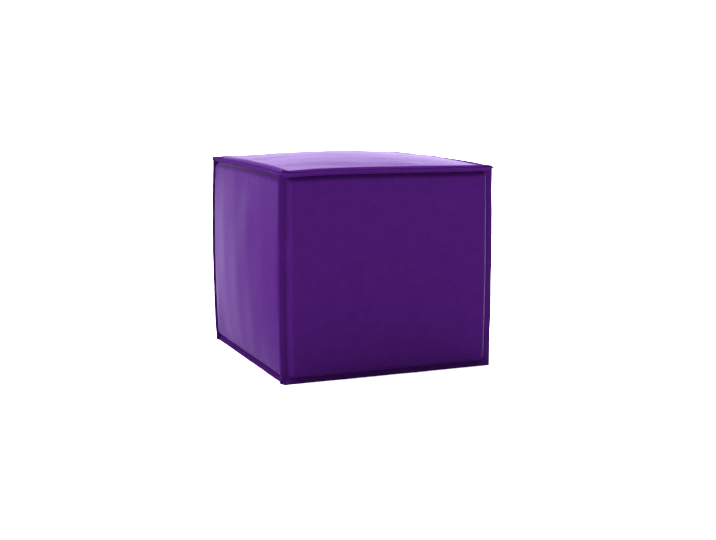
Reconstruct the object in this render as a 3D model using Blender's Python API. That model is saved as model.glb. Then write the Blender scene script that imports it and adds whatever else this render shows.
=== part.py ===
"""A cube pouf stool in thick felt, in metres, +Z up, standing on z = 0 with its centre on the Z axis.

Six square felt panels are sewn into one filled cube. The seam allowances are left outside, so two
layers of felt stand out along each of the twelve edges. The panels swell between the drawn-in
seams, and the bottom panel lies flat on the floor.
"""

from collections import namedtuple
from functools import partial
from math import cos, exp, pi, radians, sin

import bmesh
import bpy
from mathutils import Matrix, Vector

# The cube, measured from seam to seam
SEAM_WIDTH = 0.425
SEAM_DEPTH = 0.450
SEAM_HEIGHT = 0.391
SEAM_LIFT = 0.009  # height of the bottom seams above the floor
HALF_WIDTH = SEAM_WIDTH / 2
HALF_DEPTH = SEAM_DEPTH / 2
HALF_HEIGHT = SEAM_HEIGHT / 2
MIDDLE_Z = SEAM_LIFT + HALF_HEIGHT
TOP_SEAM_Z = SEAM_LIFT + SEAM_HEIGHT

# How the filled panels swell: a round shoulder beside each seam, then a low dome. The bottom panel
# curves down to the floor over the width of a shoulder.
SHOULDER_RISE = 0.010
SHOULDER_RUN = 0.012
TOP_DOME = 0.0105
SIDE_DOME = 0.0085

# Seam allowances: two layers of felt that stand out along every edge
FELT = 0.0028
ALLOWANCE = 0.0138
TOP_LEAN = radians(54)  # outwards from upright
BOTTOM_LEAN = radians(33)
FRONT_PROUD = 0.0008  # how far an upright allowance stands before the seam that it lies beside
SPLIT_DEPTH = 0.0012  # of the groove between the two cut edges
EAR_OUT = 0.0015  # extra reach of the pointed ear at each corner
EAR_UP = 0.0015
EAR_RUN = 0.012  # distance over which an ear fades into the straight edge

# Clearances between neighbouring solids
SEAT_GAP = 0.0006
SEAT_STEP = 0.0001  # how finely the root of an allowance is set against the panels
MITRE_GAP = 0.00025
END_GAP = 0.0006
FLOOR_GAP = 0.0003

# Where the meshes have lines: distances from a seam or a corner, short of the middle
MESH_LINES = (0, 0.0015, 0.0035, 0.006, 0.009, 0.012, 0.024, 0.045, 0.080, 0.130)

# The filling pushes each seam a little out of straight, by its own amount at its middle. A skewed
# top seam is pushed up most in its left half, as seen from its own side, and least in its right.
TOP_BOW = {"front": 0.0018, "right": 0.0028, "back": 0.0056, "left": 0.0034}
TOP_SKEW = {"front": 0.0028, "right": 0, "back": 0.0020, "left": 0}
UPRIGHT_BOW = {"front_left": 0.0020, "front_right": 0.0025, "back_left": 0.0045, "back_right": 0.0020}
UPRIGHT_TURN = radians(5)  # of the front left allowance, out of the plane of the front

UP = Vector((0, 0, 1))
OUTWARDS = {
    "front": Vector((0, -1, 0)),
    "right": Vector((1, 0, 0)),
    "back": Vector((0, 1, 0)),
    "left": Vector((-1, 0, 0)),
}
HALF_SEAM = {"front": HALF_WIDTH, "right": HALF_DEPTH, "back": HALF_WIDTH, "left": HALF_DEPTH}
HALF_ACROSS = {"front": HALF_DEPTH, "right": HALF_WIDTH, "back": HALF_DEPTH, "left": HALF_WIDTH}

VIOLET_FELT = (0.135, 0.035, 0.260, 1)
FELT_ROUGHNESS = 0.95
SHARP_ANGLE = radians(35)


def clear_scene():
    for old in list(bpy.data.objects):
        bpy.data.objects.remove(old)


def felt_material(name):
    """A matt violet felt of the piece's own."""
    material = bpy.data.materials.new(name + "_felt")
    material.use_nodes = True
    shader = material.node_tree.nodes["Principled BSDF"]
    shader.inputs["Base Color"].default_value = VIOLET_FELT
    shader.inputs["Roughness"].default_value = FELT_ROUGHNESS
    shader.inputs["Metallic"].default_value = 0
    return material


def add_piece(name, form, parent):
    """Make a bmesh into a named piece of the pouf, smooth but for its sharp edges."""
    mesh = bpy.data.meshes.new(name)
    form.to_mesh(mesh)
    form.free()
    mesh.shade_smooth()
    mesh.set_sharp_from_angle(angle=SHARP_ANGLE)
    mesh.materials.append(felt_material(name))
    piece = bpy.data.objects.new(name, mesh)
    piece.parent = parent
    bpy.context.scene.collection.objects.link(piece)
    return piece


def mirrored_lines(distances, half):
    """Positions from -half to half, of lines at the given distances from either end."""
    first_half = [distance - half for distance in distances]
    return first_half + [0] + [-position for position in reversed(first_half)]


def rise(distance, run):
    """0 at a seam and outside it, and 1 from the end of the run inwards."""
    return sin(pi / 2 * min(max(distance / run, 0), 1))


def dome(distance, half):
    """0 at a seam and outside it, and 1 in the middle of the panel."""
    return 1 - (1 - max(distance / half, 0)) ** 2


def upright_bend(most, height):
    """How far an upright seam is bowed outwards at a height from its middle, where it is most."""
    return most * (1 - (height / HALF_HEIGHT) ** 2)


def top_bend(side, position):
    """How far a top seam is bowed upwards, at a position from its middle towards its right end."""
    share = position / HALF_SEAM[side]
    return (1 - share**2) * (TOP_BOW[side] - TOP_SKEW[side] * share)


def swell(across, along, half_across, half_along, height):
    """How far a panel with a dome of this height stands out, from its distances to two seams."""
    shoulder = SHOULDER_RISE * rise(across, SHOULDER_RUN) * rise(along, SHOULDER_RUN)
    return shoulder + height * dome(across, half_across) * dome(along, half_along)


def foot_swell(across, along):
    """How far the bottom panel hangs below its seams, which is down to the floor inside the run."""
    return SEAM_LIFT * rise(across, SHOULDER_RUN) * rise(along, SHOULDER_RUN)


def panel(half_across, half_along, height=SIDE_DOME):
    """A side or top panel, as a function of the distances across and along one of its seams."""
    return lambda across, along: swell(across, along, half_across, half_along, height)


def top_seam_rise(x, y):
    """How far the bowed top seams lift the top of the cube at a place in plan."""
    right = (1 + x / HALF_WIDTH) / 2
    back = (1 + y / HALF_DEPTH) / 2
    front_and_back = top_bend("front", x) * (1 - back) + top_bend("back", -x) * back
    left_and_right = top_bend("left", -y) * (1 - right) + top_bend("right", y) * right
    return front_and_back + left_and_right


def upright_seam_shift(x, y, height):
    """How far the bowed upright seams push a place on the cube to the right."""
    right = (1 + x / HALF_WIDTH) / 2
    back = (1 + y / HALF_DEPTH) / 2
    rightwards = UPRIGHT_BOW["front_right"] * (1 - back) + UPRIGHT_BOW["back_right"] * back
    leftwards = UPRIGHT_BOW["front_left"] * (1 - back) + UPRIGHT_BOW["back_left"] * back
    return upright_bend(rightwards * right - leftwards * (1 - right), height)


def cube_place(x, y, height):
    """Where a place on the unswollen cube ends up; its height is taken from the cube's middle."""
    inside_x = HALF_WIDTH - abs(x)
    inside_y = HALF_DEPTH - abs(y)
    inside_z = HALF_HEIGHT - abs(height)
    if height == -HALF_HEIGHT:
        return Vector((x, y, SEAM_LIFT - foot_swell(inside_x, inside_y)))
    lift = top_seam_rise(x, y) * (height + HALF_HEIGHT) / SEAM_HEIGHT
    place = Vector((x + upright_seam_shift(x, y, height), y, MIDDLE_Z + height + lift))
    if inside_x == 0:
        place.x += swell(inside_y, inside_z, HALF_DEPTH, HALF_HEIGHT, SIDE_DOME) * (1 if x > 0 else -1)
    if inside_y == 0:
        place.y += swell(inside_x, inside_z, HALF_WIDTH, HALF_HEIGHT, SIDE_DOME) * (1 if y > 0 else -1)
    if height == HALF_HEIGHT:
        place.z += swell(inside_x, inside_y, HALF_WIDTH, HALF_DEPTH, TOP_DOME)
    return place


def build_cube(parent):
    """The filled cube: a box divided along the mesh lines, then swollen panel by panel."""
    width_lines = mirrored_lines(MESH_LINES, HALF_WIDTH)
    depth_lines = mirrored_lines(MESH_LINES, HALF_DEPTH)
    height_lines = mirrored_lines(MESH_LINES, HALF_HEIGHT)
    cells = len(width_lines) - 1
    form = bmesh.new()
    bmesh.ops.create_cube(form, size=cells)
    bmesh.ops.subdivide_edges(form, edges=form.edges, cuts=cells - 1, use_grid_fill=True)
    for corner in form.verts:
        column, row, level = (round(step + cells / 2) for step in corner.co)
        corner.co = cube_place(width_lines[column], depth_lines[row], height_lines[level])
    add_piece("filled_cube", form, parent)


def ear(near_corner):
    """1 at a corner of the cube, fading to 0 along the seam."""
    return exp(-near_corner / EAR_RUN)


def top_reach(near_corner):
    """From a top seam to the cut edge, as (outwards, upwards)."""
    out = ALLOWANCE * sin(TOP_LEAN) + EAR_OUT * ear(near_corner)
    return Vector((out, ALLOWANCE * cos(TOP_LEAN) + EAR_UP * ear(near_corner)))


def bottom_reach(near_corner):
    """From a bottom seam to the cut edge before the floor trims it, as (outwards, downwards)."""
    out = ALLOWANCE * sin(BOTTOM_LEAN) + EAR_OUT * ear(near_corner)
    return Vector((out, ALLOWANCE * cos(BOTTOM_LEAN)))


def upright_reach(turn):
    """From an upright seam to the cut edge, turned this far out of the plane of the front or back."""
    return lambda near_corner: Vector((ALLOWANCE * cos(turn), ALLOWANCE * sin(turn)))


def beside(direction):
    """The unit vector square to a direction, on the side of the panel that it rises over."""
    towards = direction.normalized()
    return Vector((-towards.y, towards.x))


def mitred(out):
    """How much further than its seam a top or bottom allowance runs, at a distance outwards."""
    return out - MITRE_GAP


def tucked(corner_reach):
    """The same for an upright one, whose slanting end tucks under the one that reaches out so far."""
    face = -beside(corner_reach) * FELT
    slope = corner_reach.y / corner_reach.x
    return lambda out: min(face.y + (out - face.x) * slope - END_GAP, SEAM_LIFT - FLOOR_GAP)


def seated(face, direction, clearance):
    """Slide a face's root outwards until it clears the panel that it stands on."""
    place = face - direction
    step = direction.normalized() * SEAT_STEP
    while clearance(place) < SEAT_GAP:
        place = place + step
    return place


def cut_point(face, direction, floor):
    """The cut end of a face of the felt, trimmed level where it meets the floor."""
    if floor is None:
        return face + direction
    return face + direction * ((floor - face.y) / direction.y)


# An allowance: half the length of its seam, its reach as above, how it overruns its first and last
# ends, the panel that it leans out from and the panel that it rises over, a sideways shift of the
# felt, and the level at which the floor trims it
Allowance = namedtuple(
    "Allowance", "half reach overruns out_panel lift_panel shift floor", defaults=(0, None)
)


def top_allowance(side):
    half = HALF_SEAM[side]
    top_panel = panel(HALF_ACROSS[side], half, TOP_DOME)
    return Allowance(half, top_reach, (mitred, mitred), panel(HALF_HEIGHT, half), top_panel)


def bottom_allowance(side):
    half = HALF_SEAM[side]
    floor = SEAM_LIFT - FLOOR_GAP
    overruns = (mitred, mitred)
    return Allowance(half, bottom_reach, overruns, panel(HALF_HEIGHT, half), foot_swell, floor=floor)


def upright_allowance(turn, overruns):
    out_panel = panel(HALF_DEPTH, HALF_HEIGHT)
    lift_panel = panel(HALF_WIDTH, HALF_HEIGHT)
    shift = FRONT_PROUD - FELT
    return Allowance(HALF_HEIGHT, upright_reach(turn), overruns, out_panel, lift_panel, shift)


def run_along(allowance, position, out):
    """Where along the seam a point lies that stands out by this much from the seam's position."""
    overrun = allowance.overruns[position > 0](out)
    return position * (1 + overrun / allowance.half)


def allowance_section(allowance, position):
    """The section of an allowance: x goes out from one panel, and y lifts off the other."""
    direction = allowance.reach(allowance.half - abs(position))
    lift_face = beside(direction) * (allowance.shift + FELT)
    out_face = beside(direction) * (allowance.shift - FELT)
    middle = beside(direction) * allowance.shift

    def above_out_panel(place):
        near_corner = allowance.half - abs(run_along(allowance, position, place.x))
        return place.x - allowance.out_panel(-place.y, near_corner)

    def above_lift_panel(place):
        near_corner = allowance.half - abs(run_along(allowance, position, place.x))
        return place.y - allowance.lift_panel(-place.x, near_corner)

    return [
        seated(out_face, direction, above_out_panel),
        cut_point(out_face, direction, allowance.floor),
        cut_point(middle, direction, allowance.floor) - direction.normalized() * SPLIT_DEPTH,
        cut_point(lift_face, direction, allowance.floor),
        seated(lift_face, direction, above_lift_panel),
        direction.normalized() * SEAT_GAP * 2,
    ]


def loft(sections):
    """A closed solid through a row of sections, each listed clockwise as seen from the last one."""
    form = bmesh.new()
    rings = [[form.verts.new(point) for point in section] for section in sections]
    for ring, following in zip(rings, rings[1:]):
        for index, point in enumerate(ring):
            form.faces.new((point, ring[index - 1], following[index - 1], following[index]))
    form.faces.new(rings[0])
    form.faces.new(reversed(rings[-1]))
    return form


def straight(position):
    """The bend of a seam that isn't bowed."""
    return 0


def build_allowance(name, parent, allowance, out, lift, seam_middle, bend_out=straight, bend_lift=straight):
    """One seam allowance, made with its seam along X, -Y outwards and Z lifting, then turned."""
    sections = []
    for position in mirrored_lines(MESH_LINES, allowance.half):
        section = []
        for point in allowance_section(allowance, position):
            along = run_along(allowance, position, point.x)
            seam = min(max(along, -allowance.half), allowance.half)
            section.append((along, -point.x - bend_out(seam), point.y + bend_lift(seam)))
        sections.append(section)
    piece = add_piece(name, loft(sections), parent)
    along = lift.cross(out)
    piece.rotation_euler = Matrix((along, -out, lift)).transposed().to_euler()
    piece.location = seam_middle


def build_top_and_bottom_allowances(parent):
    for side, out in OUTWARDS.items():
        top_middle = out * HALF_ACROSS[side] + UP * TOP_SEAM_Z
        bottom_middle = out * HALF_ACROSS[side] + UP * SEAM_LIFT
        bend = partial(top_bend, side)
        name = "top_seam_" + side
        build_allowance(name, parent, top_allowance(side), out, UP, top_middle, bend_lift=bend)
        name = "bottom_seam_" + side
        build_allowance(name, parent, bottom_allowance(side), out, -UP, bottom_middle)


def build_upright_allowances(parent):
    for seam, most in UPRIGHT_BOW.items():
        face, hand = seam.split("_")
        out = OUTWARDS[hand]
        lift = OUTWARDS[face]
        middle = out * HALF_WIDTH + lift * HALF_DEPTH + UP * MIDDLE_Z
        overruns = (tucked(bottom_reach(0)), tucked(top_reach(0)))
        if lift.cross(out).z < 0:
            overruns = overruns[::-1]
        turn = UPRIGHT_TURN if seam == "front_left" else 0
        allowance = upright_allowance(turn, overruns)
        bend = partial(upright_bend, most)
        build_allowance("upright_seam_" + seam, parent, allowance, out, lift, middle, bend_out=bend)


def build_pouf():
    clear_scene()
    pouf = bpy.data.objects.new("pouf", None)
    bpy.context.scene.collection.objects.link(pouf)
    build_cube(pouf)
    build_top_and_bottom_allowances(pouf)
    build_upright_allowances(pouf)


build_pouf()
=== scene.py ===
from collections import namedtuple
from functools import partial
from math import cos, pi, radians, sin

import bpy
import numpy as np
from mathutils import Matrix, Vector


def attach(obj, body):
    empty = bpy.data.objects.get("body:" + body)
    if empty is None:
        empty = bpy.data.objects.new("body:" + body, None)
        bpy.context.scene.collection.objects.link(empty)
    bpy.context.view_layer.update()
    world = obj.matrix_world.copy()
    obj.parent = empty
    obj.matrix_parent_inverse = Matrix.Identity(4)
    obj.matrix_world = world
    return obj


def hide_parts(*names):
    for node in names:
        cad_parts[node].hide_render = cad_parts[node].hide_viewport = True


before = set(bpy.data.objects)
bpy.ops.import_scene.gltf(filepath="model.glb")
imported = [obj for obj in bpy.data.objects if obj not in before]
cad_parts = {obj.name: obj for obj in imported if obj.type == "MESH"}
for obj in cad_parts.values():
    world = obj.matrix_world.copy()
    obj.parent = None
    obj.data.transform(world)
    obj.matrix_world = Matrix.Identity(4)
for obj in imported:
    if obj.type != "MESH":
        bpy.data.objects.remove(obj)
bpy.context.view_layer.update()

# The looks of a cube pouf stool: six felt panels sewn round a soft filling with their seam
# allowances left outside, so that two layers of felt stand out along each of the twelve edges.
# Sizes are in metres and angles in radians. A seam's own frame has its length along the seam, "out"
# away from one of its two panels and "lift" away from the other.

BODY = "root"

# The cube from seam to seam, as in the solids
SEAM_WIDTH = 0.425
SEAM_DEPTH = 0.450
SEAM_HEIGHT = 0.391
SEAM_LIFT = 0.009
HALF_WIDTH = SEAM_WIDTH / 2
HALF_DEPTH = SEAM_DEPTH / 2
HALF_HEIGHT = SEAM_HEIGHT / 2
MIDDLE_Z = SEAM_LIFT + HALF_HEIGHT
TOP_SEAM_Z = SEAM_LIFT + SEAM_HEIGHT

# How the filled panels swell and how the filling bows their seams, as in the solids
SHOULDER_RISE = 0.010
SHOULDER_RUN = 0.012
TOP_DOME = 0.0105
SIDE_DOME = 0.0085
TOP_BOW = {"front": 0.0018, "right": 0.0028, "back": 0.0056, "left": 0.0034}
TOP_SKEW = {"front": 0.0028, "right": 0, "back": 0.0020, "left": 0}
UPRIGHT_BOW = {"front_left": 0.0020, "front_right": 0.0025, "back_left": 0.0045, "back_right": 0.0020}

# Unevenness of the filled panels
LUMP_HEIGHT = 0.0003
LUMP_LENGTHS = (0.070, 0.220)
LUMP_COUNT = 14
LUMP_SEED = 1
LUMP_RUN = 0.030  # lumps fade out this close to a seam
PUCKER_HEIGHT = 0.00012
PUCKER_LENGTHS = (0.012, 0.034)
PUCKER_COUNT = 12
PUCKER_SEED = 2
PUCKER_RUN = 0.014  # puckers fade out this far from a seam
NAP_HEIGHT = 0.00003
NAP_LENGTHS = (0.006, 0.016)
NAP_COUNT = 16
NAP_SEED = 3
FACE_LINE = 0.0008  # spacing of the mesh lines next to a seam
FACE_LINE_MAX = 0.0040
FACE_LINE_GROWTH = 1.12

# Seam allowances, each a strip of two layers of felt
ALLOWANCE = 0.0138
BOTTOM_ALLOWANCE = 0.0124  # what shows of a bottom one before it meets the floor
TOP_LEAN = radians(54)
BOTTOM_LEAN = radians(33)
UPRIGHT_TURN = {
    "front_left": radians(5),
    "front_right": radians(3),
    "back_left": 0,
    "back_right": radians(2),
}
FRONT_PROUD = 0.0008  # how far the lifted face of an upright strip is past its seam
FELT = 0.0028
ROOT_DEPTH = 0.0030  # how far the felt reaches in between the panels
PINCH = 0.0008  # how much the stitching squeezes each layer
PINCH_RUN = 0.0026
MITRE_GAP = 0.0003  # how far short of its mitre a top or bottom strip ends
END_PRESS = 0.0006  # how far an upright strip presses into the felt that its ends meet
END_ROUND = 0.0016
END_ROUND_STEP = 0.3  # place of a section within the rounding, as a share of it from the end
FLOOR_GAP = 0.0003  # how far the felt and the thread of the seams stay clear of the floor

# The split between the two layers of a strip
SPLIT_FROM = 0.0040  # the layers part from here outwards
SPLIT_GAP = 0.0004
SPLIT_UNEVENNESS = 0.6
SPLIT_CURVE = 1.3
SPLIT_LEAST = 0.0003
CORNER_SPLIT = 0.0014  # how much wider the split is at a corner
CORNER_SPLIT_RUN = 0.022
LAYER_INSET = 0.00006  # from the middle to each layer's inner face, where the layers lie together

# The sections of a strip
SECTION_STEP = 0.0030
FACE_HEIGHTS = (-ROOT_DEPTH, 0.0006, 0.0022, 0.0045, 0.0075, 0.0102)  # of the points up a face
CUT_ROUND = 0.0011
CUT_POINTS = 9
SPLIT_SHARES = (0.66, 0.33)  # heights of the points in the split, as shares of its depth
SHARP_EDGE = radians(60)
NOT_SHARP = radians(180)

# Unevenness along the strips
WAVE_LEAN = radians(1.3)
WAVE_REACH = 0.00015
WAVE_LENGTHS = (0.050, 0.170)
WAVE_COUNT = 7
STRIP_SEEDS = {"top": 10, "bottom": 11, "upright": 18}
SIDE_SEEDS = 2  # from one side of the cube to the next
WAVE_SEEDS = (0, 50, 90)  # added for the lean, the reach and the split

# How far the pointed ears at the first and the last end of a strip reach (out, lift) beyond the rest
TOP_EARS = {
    "front": ((0.0005, 0.0056), (0.0003, 0.0006)),
    "right": ((0.0003, 0.0006), (0.0010, 0.0012)),
    "back": ((0.0010, 0.0012), (0.0022, -0.0002)),
    "left": ((0.0022, -0.0002), (0.0004, 0.0032)),
}
BOTTOM_EARS = ((0.0015, 0), (0.0015, 0))
NO_EARS = ((0, 0), (0, 0))
EAR_RUN = 0.010

# Stitching beside the roots
STITCH_PITCH = 0.0042
STITCH_LENGTH = 0.0034
STITCH_RADIUS = 0.00036
STITCH_HEIGHT = 0.0024
STITCH_SIDES = 6
STITCH_RINGS = (-0.5, -0.36, -0.15, 0.15, 0.36, 0.5)  # places along a stitch, as shares of its length
STITCH_RISES = (-1.6, -0.3, 0.35, 0.35, -0.3, -1.6)  # of its middle above the felt there, in radii

# Photograph's camera
IMAGE_PIXELS = 716
FOCAL_PIXELS = 1268.96
SENSOR_MILLIMETRES = 36
CAMERA_AZIMUTH = radians(22.184)
CAMERA_ELEVATION = radians(8.971)
CAMERA_ROLL = radians(-0.033)
CAMERA_DISTANCE = 2.7061
CAMERA_SIDEWAYS = 0.0251
CAMERA_UPWARDS = -0.0260
CAMERA_AIM = Vector((0, 0, 0.2035))

# Felt and thread
FELT_DARK = (0.0190, 0.0030, 0.0440, 1)
FELT_LIGHT = (0.0222, 0.0036, 0.0508, 1)
THREAD_COLOUR = (0.0190, 0.0030, 0.0440, 1)
SHEEN_WEIGHT = 0.38
SEAM_SHEEN_WEIGHT = 0.05
SHEEN_ROUGHNESS = 0.20
SHEEN_TINT = (0.82, 0.70, 1.0, 1)
WOOL_ROUGHNESS = 0.95
WOOL_SPECULAR = 0
Noise = namedtuple("Noise", "scale detail roughness distortion")
MOTTLE = Noise(60, 10, 0.65, 0)
MOTTLE_DARK_TO = 0.3
MOTTLE_LIGHT_FROM = 0.7
FIBRES = Noise(900, 3, 0.7, 1)
CLUMPS = Noise(260, 5, 0.6, 0)
TWIST = Noise(1500, 2, 0.5, 0)
Relief = namedtuple("Relief", "strength distance")
FELT_RELIEF = Relief(0.35, 0.0004)
THREAD_RELIEF = Relief(0.4, 0.0002)

# Floor and light
FLOOR_SIZE = 60
FLOOR_COLOUR = (0.80, 0.80, 0.803, 1)
FLOOR_ROUGHNESS = 0.9
Sun = namedtuple("Sun", "towards strength spread")
SUNS = {
    "above": Sun((-0.10, 0.10, 1.0), 14.0, radians(40)),
    "left": Sun((-1.0, 0.15, 0.20), 6.1, radians(40)),
    "back": Sun((0.35, 1.0, 0.55), 17.5, radians(50)),
    "front": Sun((-0.25, -1.0, 0.05), 1.65, radians(60)),
}
WHITE = (1, 1, 1, 1)
AMBIENT = 0.06
BACKDROP = 1.05

UP = Vector((0, 0, 1))
OUTWARDS = {
    "front": Vector((0, -1, 0)),
    "right": Vector((1, 0, 0)),
    "back": Vector((0, 1, 0)),
    "left": Vector((-1, 0, 0)),
}
HALF_SEAM = {"front": HALF_WIDTH, "right": HALF_DEPTH, "back": HALF_WIDTH, "left": HALF_DEPTH}
HALF_ACROSS = {"front": HALF_DEPTH, "right": HALF_WIDTH, "back": HALF_DEPTH, "left": HALF_WIDTH}

# A strip of seam allowance: half its seam's length, its length across, its lean outwards, its ears
# as above, how it overruns its first and last ends at a distance outwards, how its seam bends
# outwards and lifts, a sideways shift of the felt and the seed of its unevenness
Strip = namedtuple("Strip", "half reach lean ears overruns bend_out bend_lift shift seed")

# The directions "out" and "lift" of a seam in world axes, and its middle
Seam = namedtuple("Seam", "out lift middle")


def add_camera():
    """The photograph's camera, turned about its aim and shifted in its picture plane."""
    forward = Vector((
        sin(CAMERA_AZIMUTH) * cos(CAMERA_ELEVATION),
        cos(CAMERA_AZIMUTH) * cos(CAMERA_ELEVATION),
        -sin(CAMERA_ELEVATION),
    ))
    level = Vector((cos(CAMERA_AZIMUTH), -sin(CAMERA_AZIMUTH), 0))
    upright = level.cross(forward)
    right = level * cos(CAMERA_ROLL) + upright * sin(CAMERA_ROLL)
    up = upright * cos(CAMERA_ROLL) - level * sin(CAMERA_ROLL)
    place = CAMERA_AIM - forward * CAMERA_DISTANCE + right * CAMERA_SIDEWAYS + up * CAMERA_UPWARDS
    camera = bpy.data.objects.new("camera", bpy.data.cameras.new("camera"))
    camera.data.sensor_width = SENSOR_MILLIMETRES
    camera.data.lens = FOCAL_PIXELS / IMAGE_PIXELS * SENSOR_MILLIMETRES
    camera.matrix_world = Matrix.Translation(place) @ Matrix((right, up, -forward)).transposed().to_4x4()
    bpy.context.scene.collection.objects.link(camera)
    bpy.context.scene.camera = camera


def rise(distance, run):
    """0 at a seam and outside it, and 1 from the end of the run inwards."""
    return np.sin(pi / 2 * np.clip(distance / run, 0, 1))


def dome(distance, half):
    """0 at a seam and outside it, and 1 in the middle of the panel."""
    return 1 - (1 - np.maximum(distance / half, 0)) ** 2


def top_bend(side, position):
    """How far a top seam is bowed upwards, at a position from its middle towards its right end."""
    share = position / HALF_SEAM[side]
    return (1 - share**2) * (TOP_BOW[side] - TOP_SKEW[side] * share)


def upright_bend(most, height):
    """How far an upright seam is bowed outwards at a height from its middle, where it is most."""
    return most * (1 - (height / HALF_HEIGHT) ** 2)


def straight(position):
    """No bend and no overrun, at positions or distances of any number."""
    return 0 * position


def swell(across, along, half_across, half_along, height):
    """How far a panel with a dome of this height stands out, from its distances to two seams."""
    shoulder = SHOULDER_RISE * rise(across, SHOULDER_RUN) * rise(along, SHOULDER_RUN)
    return shoulder + height * dome(across, half_across) * dome(along, half_along)


def foot_swell(across, along):
    """How far the bottom panel hangs below its seams."""
    return SEAM_LIFT * rise(across, SHOULDER_RUN) * rise(along, SHOULDER_RUN)


def top_seam_rise(x, y):
    """How far the bowed top seams lift the top of the cube at a place in plan."""
    right = (1 + x / HALF_WIDTH) / 2
    back = (1 + y / HALF_DEPTH) / 2
    front_and_back = top_bend("front", x) * (1 - back) + top_bend("back", -x) * back
    left_and_right = top_bend("left", -y) * (1 - right) + top_bend("right", y) * right
    return front_and_back + left_and_right


def upright_seam_shift(x, y, height):
    """How far the bowed upright seams push a place on the cube to the right."""
    right = (1 + x / HALF_WIDTH) / 2
    back = (1 + y / HALF_DEPTH) / 2
    rightwards = UPRIGHT_BOW["front_right"] * (1 - back) + UPRIGHT_BOW["back_right"] * back
    leftwards = UPRIGHT_BOW["front_left"] * (1 - back) + UPRIGHT_BOW["back_left"] * back
    return upright_bend(rightwards * right - leftwards * (1 - right), height)


def waves(seed, count, lengths, dimensions):
    """A smooth seeded unevenness of about unit size, as a function of points of so many dimensions."""
    draws = np.random.default_rng(seed)
    directions = draws.normal(size=(count, dimensions))
    directions /= np.linalg.norm(directions, axis=1, keepdims=True)
    numbers = 2 * pi / draws.uniform(*lengths, size=(count, 1)) * directions
    phases = draws.uniform(0, 2 * pi, size=count)
    return lambda points: np.sin(points @ numbers.T + phases).sum(axis=-1) / np.sqrt(count / 2)


def panel_unevenness(points, inside_one, inside_two):
    """Soft lumps over a panel, short puckers beside its seams and a fine nap, as a distance outwards."""
    lumps = waves(LUMP_SEED, LUMP_COUNT, LUMP_LENGTHS, 3)
    puckers = waves(PUCKER_SEED, PUCKER_COUNT, PUCKER_LENGTHS, 3)
    nap = waves(NAP_SEED, NAP_COUNT, NAP_LENGTHS, 3)
    nearest = np.minimum(inside_one, inside_two)
    soft = LUMP_HEIGHT * lumps(points) * rise(nearest, LUMP_RUN) ** 2
    gathered = PUCKER_HEIGHT * puckers(points) * np.exp(-nearest / PUCKER_RUN) * rise(nearest, PUCKER_RUN)
    return soft + gathered + NAP_HEIGHT * nap(points) * rise(nearest, PUCKER_RUN)


def swollen(points):
    """Where places on the unswollen cube end up; their heights are taken from its middle."""
    x, y, height = points.T
    inside_x = HALF_WIDTH - abs(x)
    inside_y = HALF_DEPTH - abs(y)
    inside_z = HALF_HEIGHT - abs(height)
    side = swell(inside_y, inside_z, HALF_DEPTH, HALF_HEIGHT, SIDE_DOME)
    side += panel_unevenness(points, inside_y, inside_z)
    front = swell(inside_x, inside_z, HALF_WIDTH, HALF_HEIGHT, SIDE_DOME)
    front += panel_unevenness(points, inside_x, inside_z)
    top = swell(inside_x, inside_y, HALF_WIDTH, HALF_DEPTH, TOP_DOME)
    top += panel_unevenness(points, inside_x, inside_y)
    lift = top_seam_rise(x, y) * (height + HALF_HEIGHT) / SEAM_HEIGHT
    places = np.stack([x + upright_seam_shift(x, y, height), y, MIDDLE_Z + height + lift], axis=1)
    places[:, 0] += np.where(np.isclose(inside_x, 0), side * np.sign(x), 0)
    places[:, 1] += np.where(np.isclose(inside_y, 0), front * np.sign(y), 0)
    places[:, 2] += np.where(np.isclose(height, HALF_HEIGHT), top, 0)
    places[:, 2] -= np.where(np.isclose(height, -HALF_HEIGHT), foot_swell(inside_x, inside_y), 0)
    return places


def graded_lines(half):
    """Positions from -half to half, close together near the ends and even in the middle."""
    steps = []
    step = FACE_LINE
    while sum(steps) + step < half:
        steps.append(step)
        step = min(step * FACE_LINE_GROWTH, FACE_LINE_MAX)
    ends = np.concatenate([[0], np.cumsum(steps)]) * half / (sum(steps) + step)
    first_half = ends - half
    return np.concatenate([first_half, [0], -first_half[::-1]])


def box_surface(lines):
    """The surface of a box divided along three rows of lines, as points and outward quads."""
    shape = [len(row) for row in lines]
    grid = np.indices(shape)
    last = np.array(shape).reshape(3, 1, 1, 1) - 1
    outside = ((grid == 0) | (grid == last)).any(axis=0)
    numbers = np.full(shape, -1)
    numbers[outside] = np.arange(outside.sum())
    points = np.stack([lines[axis][grid[axis][outside]] for axis in range(3)], axis=1)
    quads = []
    for axis in range(3):
        for end in (0, -1):
            face = np.take(numbers, end, axis=axis)
            corners = [face[:-1, :-1], face[1:, :-1], face[1:, 1:], face[:-1, 1:]]
            if (end == 0) != (axis == 1):
                corners.reverse()
            quads.append(np.stack(corners, axis=-1).reshape(-1, 4))
    return points, np.concatenate(quads)


def add_mesh(name, points, faces, material, sharp=NOT_SHARP):
    """A named mesh piece that rides on the pouf, smooth but for edges sharper than an angle."""
    mesh = bpy.data.meshes.new(name)
    mesh.from_pydata(np.asarray(points).tolist(), [], [list(face) for face in faces])
    mesh.shade_smooth()
    mesh.set_sharp_from_angle(angle=sharp)
    mesh.materials.append(material)
    piece = bpy.data.objects.new(name, mesh)
    bpy.context.scene.collection.objects.link(piece)
    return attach(piece, BODY)


def build_cube(material):
    """The filled cube, replacing the plain solid."""
    lines = [graded_lines(half) for half in (HALF_WIDTH, HALF_DEPTH, HALF_HEIGHT)]
    points, quads = box_surface(lines)
    piece = add_mesh("felt_cube", swollen(points), quads, material)
    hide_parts("filled_cube")


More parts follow.
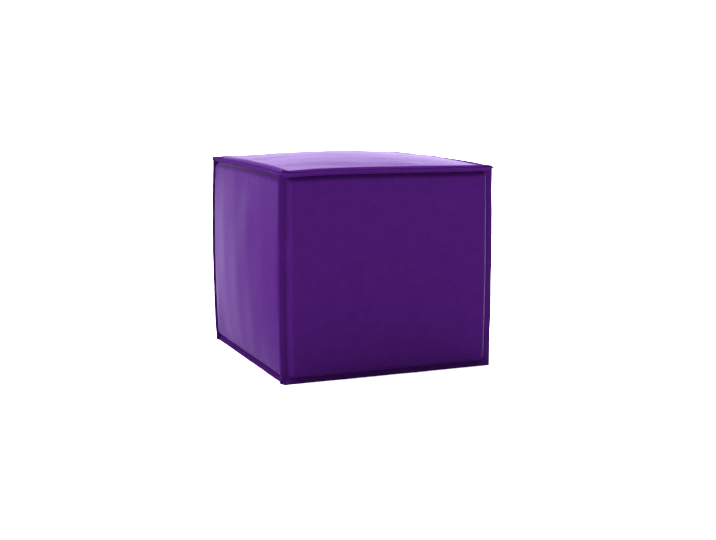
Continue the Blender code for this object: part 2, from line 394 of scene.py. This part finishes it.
def strip_run(strip, position):
    """How far a strip reaches out and lifts at positions along it, and how far its layers part."""
    near_first = np.exp(-(strip.half + position) / EAR_RUN)
    near_last = np.exp(-(strip.half - position) / EAR_RUN)
    lean_wave, reach_wave, split_wave = (
        waves(strip.seed + more, WAVE_COUNT, WAVE_LENGTHS, 1)(position[:, None]) for more in WAVE_SEEDS
    )
    lean = strip.lean + WAVE_LEAN * lean_wave
    reach = strip.reach + WAVE_REACH * reach_wave
    out = reach * np.sin(lean) + strip.ears[0][0] * near_first + strip.ears[1][0] * near_last
    lift = reach * np.cos(lean) + strip.ears[0][1] * near_first + strip.ears[1][1] * near_last
    to_corner = strip.half - abs(position)
    corner_split = CORNER_SPLIT * np.exp(-to_corner / CORNER_SPLIT_RUN)
    split = SPLIT_GAP * (1 + SPLIT_UNEVENNESS * split_wave) + corner_split
    return out, lift, np.maximum(split, SPLIT_LEAST)


def layer_inside(height, reach, split):
    """How far a layer's inner face is from the middle, at a height up the strip."""
    share = np.clip((height - SPLIT_FROM) / (reach - SPLIT_FROM), 0, 1)
    return split / 2 * share**SPLIT_CURVE + LAYER_INSET


def layer_thickness(height):
    """Thickness of a layer, which the stitching squeezes near the root."""
    return FELT - PINCH * np.exp(-np.maximum(height, 0) / PINCH_RUN)


def strip_profile(reach, split):
    """The outlines of a strip's sections, as heights up the felt and offsets from its middle.

    Each goes up the outer face, over the two rounded cut ends with the split between them, and down
    the lifted face.
    """
    heights = []
    offsets = []
    for height in FACE_HEIGHTS:
        heights.append(np.full_like(reach, height))
        offsets.append(layer_inside(height, reach, split) + layer_thickness(height))
    for turn in np.linspace(0, pi, CUT_POINTS):
        height = reach - CUT_ROUND * (1 - np.sin(turn))
        heights.append(height)
        offsets.append(layer_inside(height, reach, split) + FELT * (1 + np.cos(turn)) / 2)
    for share in SPLIT_SHARES:
        height = SPLIT_FROM + (reach - SPLIT_FROM) * share
        heights.append(height)
        offsets.append(layer_inside(height, reach, split))
    outer = np.stack([np.stack(heights, axis=1), -np.stack(offsets, axis=1)], axis=-1)
    lifted = (outer * (1, -1))[:, ::-1]
    middle = np.stack([np.full_like(reach, SPLIT_FROM), np.zeros_like(reach)], axis=-1)
    return np.concatenate([outer, middle[:, None], lifted], axis=1)


def strip_positions(half):
    """Positions along a seam, with two extra ones at each end where the felt is rounded off."""
    count = int(round(2 * half / SECTION_STEP))
    middle = np.linspace(-half, half, count + 1)
    inner = half - END_ROUND
    close = half - END_ROUND * END_ROUND_STEP
    return np.concatenate([[-half, -close, -inner], middle[1:-1], [inner, close, half]])


def on_strip(strip, position, out, lift, heights, offsets):
    """Points (along, out, lift) of a strip, from heights up it and offsets from its middle."""
    reach = np.hypot(out, lift)
    to_out = (out / reach)[:, None]
    to_lift = (lift / reach)[:, None]
    place_out = heights * to_out - offsets * to_lift
    place_lift = heights * to_lift + offsets * to_out
    first, last = (end(place_out) for end in strip.overruns)
    overrun = np.where(position[:, None] < 0, first, last)
    along = position[:, None] * (1 + overrun / strip.half)
    seam = np.clip(along, -strip.half, strip.half)
    return np.stack([along, place_out + strip.bend_out(seam), place_lift + strip.bend_lift(seam)], axis=-1)


def strip_points(strip):
    """The points of a strip's sections, rounded off towards its two ends."""
    position = strip_positions(strip.half)
    out, lift, split = strip_run(strip, position)
    reach = np.hypot(out, lift)
    profile = strip_profile(reach, split)
    share = np.clip((strip.half - abs(position)) / END_ROUND, 0, 1)
    inset = END_ROUND * (1 - np.sqrt(1 - (1 - share) ** 2))
    heights = np.minimum(profile[..., 0], (reach - inset)[:, None])
    return on_strip(strip, position, out, lift, heights, profile[..., 1] + strip.shift)


def tube_faces(sections, points):
    """Quads between neighbouring sections of so many points, and the two ends."""
    row = np.arange(points)
    following = np.roll(row, -1)
    starts = np.arange(sections - 1)[:, None] * points
    corners = (starts + row, starts + points + row, starts + points + following, starts + following)
    quads = np.stack(corners, axis=-1).reshape(-1, 4).tolist()
    first = row.tolist()
    last = ((sections - 1) * points + row[::-1]).tolist()
    return quads + [first, last]


def to_world(local, seam):
    """Points (along, out, lift) of a seam in world axes, all kept just clear of the floor."""
    axes = np.array([list(seam.lift.cross(seam.out)), list(seam.out), list(seam.lift)])
    places = local.reshape(-1, 3) @ axes + np.array(seam.middle)
    places[:, 2] = np.maximum(places[:, 2], FLOOR_GAP)
    return places


def stitch_points(strip, face):
    """A row of stitches on one face of a strip, each a short thread that dips into the felt."""
    count = int(2 * (strip.half - STITCH_PITCH) / STITCH_PITCH)
    middles = (np.arange(count) - (count - 1) / 2) * STITCH_PITCH
    position = (middles[:, None] + np.array(STITCH_RINGS) * STITCH_LENGTH).ravel()
    rises = np.tile(np.array(STITCH_RISES) * STITCH_RADIUS, count)
    turn = np.arange(STITCH_SIDES) * 2 * pi / STITCH_SIDES
    out, lift, split = strip_run(strip, position)
    surface = layer_thickness(STITCH_HEIGHT) + layer_inside(STITCH_HEIGHT, np.hypot(out, lift), split)
    heights = STITCH_HEIGHT + STITCH_RADIUS * np.sin(turn) * np.ones((len(position), 1))
    raised = (surface + rises)[:, None] + STITCH_RADIUS * np.cos(turn)
    square = strip._replace(overruns=(straight, straight))
    return on_strip(square, position, out, lift, heights, face * raised + strip.shift)


def stitch_faces(count, face):
    """The faces of so many stitches, turned outwards on either face of a strip."""
    rings = len(STITCH_RINGS)
    one = [quad[::face] for quad in tube_faces(rings, STITCH_SIDES)]
    starts = [stitch * rings * STITCH_SIDES for stitch in range(count)]
    return [[start + corner for corner in corners] for start in starts for corners in one]


def stitch_row(strip, face, seam):
    """A row of stitches in world axes, as points and faces."""
    local = stitch_points(strip, face)
    return to_world(local, seam), stitch_faces(len(local) // len(STITCH_RINGS), face)


def build_strip(row, which, strip, seam, material):
    """One strip of seam allowance, replacing its plain solid. It returns its two rows of stitches."""
    name = f"felt_{row}_{which}"
    node = f"{row}_seam_{which}"
    local = strip_points(strip)
    sections, points = local.shape[:2]
    piece = add_mesh(name, to_world(local, seam), tube_faces(sections, points), material, sharp=SHARP_EDGE)
    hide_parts(node)
    return [stitch_row(strip, face, seam) for face in (-1, 1)]


def mitred(out):
    """How much further than its seam a top or bottom strip runs, at a distance outwards."""
    return out - MITRE_GAP


def tucked(lean):
    """The same for an upright one, whose slanting end tucks under a strip that leans so far."""
    return lambda out: np.minimum((out * cos(lean) - FELT) / sin(lean) + END_PRESS, SEAM_LIFT - FLOOR_GAP)


def top_strip(side, number):
    """The strip along the top of one side, and its seam."""
    strip = Strip(
        half=HALF_SEAM[side],
        reach=ALLOWANCE,
        lean=TOP_LEAN,
        ears=TOP_EARS[side],
        overruns=(mitred, mitred),
        bend_out=straight,
        bend_lift=partial(top_bend, side),
        shift=0,
        seed=STRIP_SEEDS["top"] + SIDE_SEEDS * number,
    )
    out = OUTWARDS[side]
    return strip, Seam(out, UP, out * HALF_ACROSS[side] + UP * TOP_SEAM_Z)


def bottom_strip(side, number):
    """The strip along the bottom of one side, and its seam."""
    strip = Strip(
        half=HALF_SEAM[side],
        reach=BOTTOM_ALLOWANCE,
        lean=BOTTOM_LEAN,
        ears=BOTTOM_EARS,
        overruns=(mitred, mitred),
        bend_out=straight,
        bend_lift=straight,
        shift=0,
        seed=STRIP_SEEDS["bottom"] + SIDE_SEEDS * number,
    )
    out = OUTWARDS[side]
    return strip, Seam(out, -UP, out * HALF_ACROSS[side] + UP * SEAM_LIFT)


def upright_strip(corner, number):
    """The strip along one upright edge, close to the plane of the front or back panel, and its seam."""
    panel, hand = corner.split("_")
    out = OUTWARDS[hand]
    lift = OUTWARDS[panel]
    ends = (tucked(BOTTOM_LEAN), tucked(TOP_LEAN))
    if lift.cross(out).z < 0:
        ends = ends[::-1]
    strip = Strip(
        half=HALF_HEIGHT,
        reach=ALLOWANCE,
        lean=pi / 2 - UPRIGHT_TURN[corner],
        ears=NO_EARS,
        overruns=ends,
        bend_out=partial(upright_bend, UPRIGHT_BOW[corner]),
        bend_lift=straight,
        shift=FRONT_PROUD - FELT,
        seed=STRIP_SEEDS["upright"] + number,
    )
    return strip, Seam(out, lift, out * HALF_WIDTH + lift * HALF_DEPTH + UP * MIDDLE_Z)


def build_strips(material):
    """The twelve strips. It returns their rows of stitches for the top, bottom and upright seams."""
    stitches = {"top": [], "bottom": [], "upright": []}
    for number, side in enumerate(OUTWARDS):
        stitches["top"] += build_strip("top", side, *top_strip(side, number), material)
        stitches["bottom"] += build_strip("bottom", side, *bottom_strip(side, number), material)
    for number, corner in enumerate(UPRIGHT_BOW):
        stitches["upright"] += build_strip("upright", corner, *upright_strip(corner, number), material)
    return stitches


def build_stitches(stitches, material):
    """One joined piece of thread for the top, one for the bottom and one for the upright seams."""
    for seams, rows in stitches.items():
        points = []
        faces = []
        for row_points, row_faces in rows:
            start = sum(len(earlier) for earlier in points)
            points.append(row_points)
            faces += [[start + corner for corner in face] for face in row_faces]
        piece = add_mesh("stitches_" + seams, np.concatenate(points), faces, material)


def matt_wool(name):
    """A matt material, with its node tree, its shader and the place on the object for patterns."""
    material = bpy.data.materials.new(name)
    material.use_nodes = True
    tree = material.node_tree
    shader = tree.nodes["Principled BSDF"]
    shader.inputs["Roughness"].default_value = WOOL_ROUGHNESS
    shader.inputs["Specular IOR Level"].default_value = WOOL_SPECULAR
    return material, tree, shader, tree.nodes.new("ShaderNodeTexCoord").outputs["Object"]


def add_noise(tree, place, settings):
    """The value of a noise pattern at a place on the object."""
    noise = tree.nodes.new("ShaderNodeTexNoise")
    noise.inputs["Scale"].default_value = settings.scale
    noise.inputs["Detail"].default_value = settings.detail
    noise.inputs["Roughness"].default_value = settings.roughness
    noise.inputs["Distortion"].default_value = settings.distortion
    tree.links.new(place, noise.inputs["Vector"])
    return noise.outputs["Fac"]


def add_relief(tree, shader, height, relief):
    """Fine relief from a height, under a shader."""
    bump = tree.nodes.new("ShaderNodeBump")
    bump.inputs["Strength"].default_value = relief.strength
    bump.inputs["Distance"].default_value = relief.distance
    tree.links.new(height, bump.inputs["Height"])
    tree.links.new(bump.outputs["Normal"], shader.inputs["Normal"])


def felt_material(name, sheen):
    """Matt wool felt: mottled in the mass, with matted fibres on the surface."""
    material, tree, shader, place = matt_wool(name)
    shader.inputs["Sheen Weight"].default_value = sheen
    shader.inputs["Sheen Roughness"].default_value = SHEEN_ROUGHNESS
    shader.inputs["Sheen Tint"].default_value = SHEEN_TINT
    ramp = tree.nodes.new("ShaderNodeValToRGB")
    dark, light = ramp.color_ramp.elements
    dark.position = MOTTLE_DARK_TO
    dark.color = FELT_DARK
    light.position = MOTTLE_LIGHT_FROM
    light.color = FELT_LIGHT
    tree.links.new(add_noise(tree, place, MOTTLE), ramp.inputs["Fac"])
    tree.links.new(ramp.outputs["Color"], shader.inputs["Base Color"])
    height = tree.nodes.new("ShaderNodeMath")
    height.operation = "ADD"
    tree.links.new(add_noise(tree, place, FIBRES), height.inputs[0])
    tree.links.new(add_noise(tree, place, CLUMPS), height.inputs[1])
    add_relief(tree, shader, height.outputs["Value"], FELT_RELIEF)
    return material


def thread_material():
    """Matt violet thread with a fine twist."""
    material, tree, shader, place = matt_wool("thread")
    shader.inputs["Base Color"].default_value = THREAD_COLOUR
    add_relief(tree, shader, add_noise(tree, place, TWIST), THREAD_RELIEF)
    return material


def add_floor():
    """A plain pale floor."""
    half = FLOOR_SIZE / 2
    mesh = bpy.data.meshes.new("floor")
    corners = [(-half, -half, 0), (half, -half, 0), (half, half, 0), (-half, half, 0)]
    mesh.from_pydata(corners, [], [(0, 1, 2, 3)])
    material = bpy.data.materials.new("floor")
    material.use_nodes = True
    shader = material.node_tree.nodes["Principled BSDF"]
    shader.inputs["Base Color"].default_value = FLOOR_COLOUR
    shader.inputs["Roughness"].default_value = FLOOR_ROUGHNESS
    mesh.materials.append(material)
    floor = bpy.data.objects.new("floor", mesh)
    bpy.context.scene.collection.objects.link(floor)


def add_suns():
    """Broad soft suns from above and round about."""
    for name, sun in SUNS.items():
        data = bpy.data.lights.new(name, "SUN")
        data.energy = sun.strength
        data.angle = sun.spread
        light = bpy.data.objects.new(name, data)
        light.rotation_euler = Vector(sun.towards).to_track_quat("Z", "Y").to_euler()
        bpy.context.scene.collection.objects.link(light)


def add_backdrop():
    """A backdrop that looks white and lights little."""
    world = bpy.data.worlds.new("studio")
    world.use_nodes = True
    tree = world.node_tree
    lit = tree.nodes["Background"]
    lit.inputs["Color"].default_value = WHITE
    lit.inputs["Strength"].default_value = AMBIENT
    seen = tree.nodes.new("ShaderNodeBackground")
    seen.inputs["Color"].default_value = WHITE
    seen.inputs["Strength"].default_value = BACKDROP
    path = tree.nodes.new("ShaderNodeLightPath")
    mix = tree.nodes.new("ShaderNodeMixShader")
    tree.links.new(path.outputs["Is Camera Ray"], mix.inputs["Fac"])
    tree.links.new(lit.outputs["Background"], mix.inputs[1])
    tree.links.new(seen.outputs["Background"], mix.inputs[2])
    tree.links.new(mix.outputs["Shader"], tree.nodes["World Output"].inputs["Surface"])
    bpy.context.scene.world = world
    bpy.context.scene.view_settings.view_transform = "Standard"


add_camera()
add_floor()
add_suns()
add_backdrop()
build_cube(felt_material("panel_felt", SHEEN_WEIGHT))
build_stitches(build_strips(felt_material("seam_felt", SEAM_SHEEN_WEIGHT)), thread_material())
